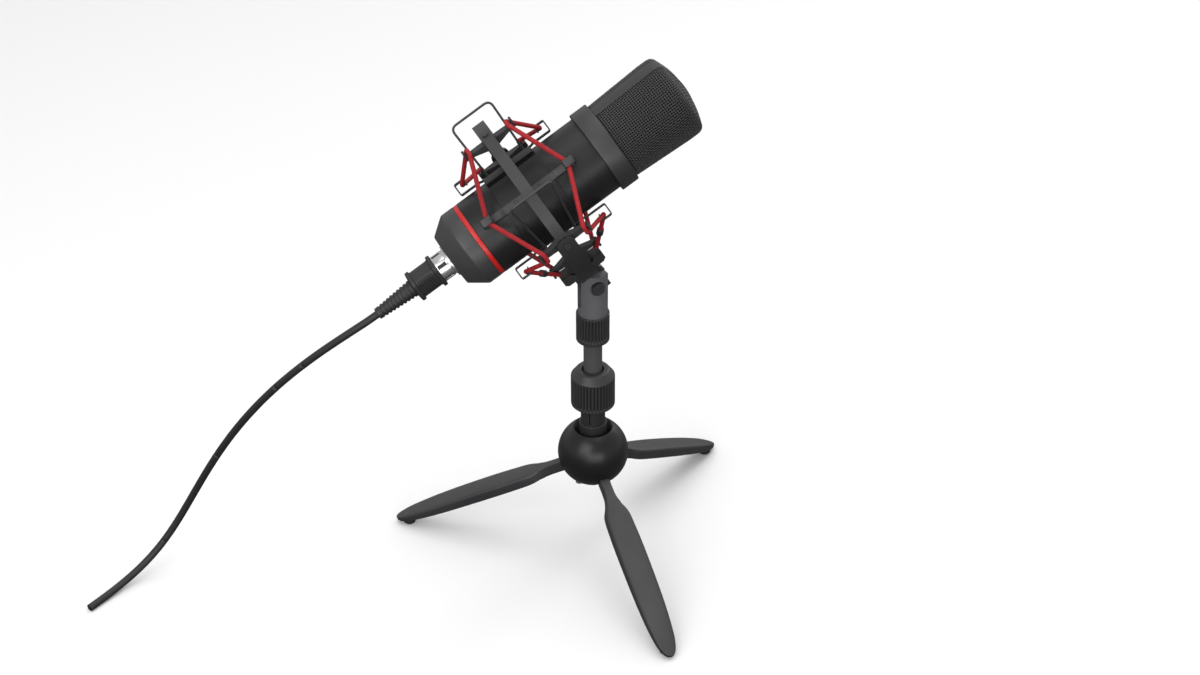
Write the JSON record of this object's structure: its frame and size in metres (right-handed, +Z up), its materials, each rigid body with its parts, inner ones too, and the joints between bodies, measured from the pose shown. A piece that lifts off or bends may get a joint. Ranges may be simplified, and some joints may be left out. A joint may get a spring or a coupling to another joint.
{
  "type": "condenser microphone in a shock mount on a folding tabletop tripod",
  "caption": "Side-address condenser microphone held by a scissor clamp in an elastic shock mount, tilting on an extending post with three folding legs.",
  "frame": {"origin": "centre of the hub's flat underside, on the post axis", "axes": "+Z up along the post, away from the feet; +X to the side the head of the microphone leans towards; the desk is at Z = -46.7 mm"},
  "size_m": [0.4087, 0.1914, 0.3168],
  "materials": {
    "dark_metal": "satin charcoal powder coat",
    "dark_anodised": "black anodised, satin",
    "black_plastic": "moulded, fine texture",
    "gloss_black": "soft gloss",
    "accent_red": "satin",
    "grille_mesh": "woven wire, matt black",
    "bright_metal": "polished nickel",
    "steel": "plain",
    "gold": "gold flash",
    "cord_red": "woven elastic",
    "cable_rubber": "matt",
    "pad_rubber": "matt",
    "board_green": "solder mask"
  },
  "bodies": {
    "base": {"hub_top": "gloss_black", "hub_bottom": "gloss_black", "hub_screws": "steel", "leg_pins": "steel", "neck": "black_plastic", "collet": "black_plastic"},
    "lock_collar": {"lock_collar": "dark_anodised"},
    "post": {"post_tube": "dark_anodised"},
    "swivel_nut": {"swivel_nut": "dark_metal"},
    "head": {"clevis": "dark_metal", "pivot_bolt": "dark_metal"},
    "pivot_nut": {"pivot_nut": "dark_metal"},
    "yoke": {"boot": "black_plastic", "yoke_ring": "dark_metal", "near_strap": "dark_metal", "cord_arms": "dark_metal", "yoke_screws": "dark_metal", "cord_lower": "cord_red", "cord_upper": "cord_red", "cord_crimps": "black_plastic"},
    "microphone": {"bottom_cap": "dark_metal", "accent_ring": "accent_red", "body_tube": "dark_metal", "head_collar": "dark_metal", "head_frame": "dark_metal", "grille_front": "grille_mesh", "grille_rear": "grille_mesh", "gauze_liner": "grille_mesh", "capsule_housing": "black_plastic", "capsule_backplate": "gold", "capsule_diaphragms": "gold", "capsule_saddle": "dark_metal", "chassis": "steel", "circuit_board": "board_green", "board_parts": "black_plastic", "socket_shell": "steel", "socket_insert": "black_plastic", "socket_pins": "gold", "clamp_pin": "steel", "clamp_spring": "steel"},
    "plug": {"plug_barrel": "bright_metal", "plug_insert": "black_plastic", "plug_body": "black_plastic", "strain_relief": "black_plastic", "cable": "cable_rubber"},
    "jaw_near": {"jaw_near": "black_plastic", "pad_near": "pad_rubber", "hook_strips_near": "dark_metal", "handle_far": "dark_metal"},
    "jaw_far": {"jaw_far": "black_plastic", "pad_far": "pad_rubber", "hook_strips_far": "dark_metal", "handle_near": "dark_metal"},
    "leg_front": {"leg_front": "dark_metal", "foot_front": "pad_rubber"},
    "leg_right": {"leg_right": "dark_metal", "foot_right": "pad_rubber"},
    "leg_left": {"leg_left": "dark_metal", "foot_left": "pad_rubber"}
  },
  "joints": [
    {"name": "leg_front_fold", "type": "hinge", "parent": "base", "child": "leg_front", "pos_m": [0, -0.014, 0.0098], "axis": [1, 0, 0], "range_deg": [0, 62]},
    {"name": "leg_right_fold", "type": "hinge", "parent": "base", "child": "leg_right", "pos_m": [0.01212, 0.007, 0.0098], "axis": [-0.5, 0.866, 0], "range_deg": [0, 62]},
    {"name": "leg_left_fold", "type": "hinge", "parent": "base", "child": "leg_left", "pos_m": [-0.01212, 0.007, 0.0098], "axis": [-0.5, -0.866, 0], "range_deg": [0, 62]},
    {"name": "lock_collar_turn", "type": "hinge", "parent": "base", "child": "lock_collar", "pos_m": [0, 0, 0.06], "axis": [0, 0, 1], "range_deg": [0, 90]},
    {"name": "post_slide", "type": "slide", "parent": "base", "child": "post", "axis": [0, 0, 1], "range_m": [-0.015, 0.02]},
    {"name": "swivel_nut_turn", "type": "hinge", "parent": "post", "child": "swivel_nut", "pos_m": [0, 0, 0.105], "axis": [0, 0, 1], "range_deg": [0, 180]},
    {"name": "head_pan", "type": "hinge", "parent": "post", "child": "head", "pos_m": [0, 0, 0.105], "axis": [0, 0, 1], "range_deg": [-90, 90]},
    {"name": "pivot_nut_turn", "type": "hinge", "parent": "head", "child": "pivot_nut", "pos_m": [0, -0.0085, 0.1383], "axis": [0, -1, 0], "range_deg": [0, 180]},
    {"name": "yoke_tilt", "type": "hinge", "parent": "head", "child": "yoke", "pos_m": [0, 0, 0.1383], "axis": [0, 1, 0], "range_deg": [-60, 60], "deforming": ["cable"]},
    {"name": "suspension", "type": "slide", "parent": "yoke", "child": "microphone", "axis": [0.866, 0, 0.5], "range_m": [-0.0025, 0.0025], "stiffness_N_per_m": 400, "deforming": ["cord_lower", "cord_upper", "cord_crimps"]},
    {"name": "plug_pull", "type": "slide", "parent": "microphone", "child": "plug", "axis": [-0.866, 0, -0.5], "range_m": [0, 0.016]},
    {"name": "jaw_near_open", "type": "hinge", "parent": "microphone", "child": "jaw_near", "pos_m": [-0.0213, 0, 0.17519], "axis": [0.866, 0, 0.5], "range_deg": [0, 3.5], "deforming": ["clamp_spring"]},
    {"name": "jaw_far_open", "type": "hinge", "parent": "microphone", "child": "jaw_far", "pos_m": [-0.0213, 0, 0.17519], "axis": [0.866, 0, 0.5], "range_deg": [-3.5, 0]}
  ],
  "couplings": [
    {"joint": "jaw_far_open", "follows": "jaw_near_open", "ratio": -1}
  ]
}
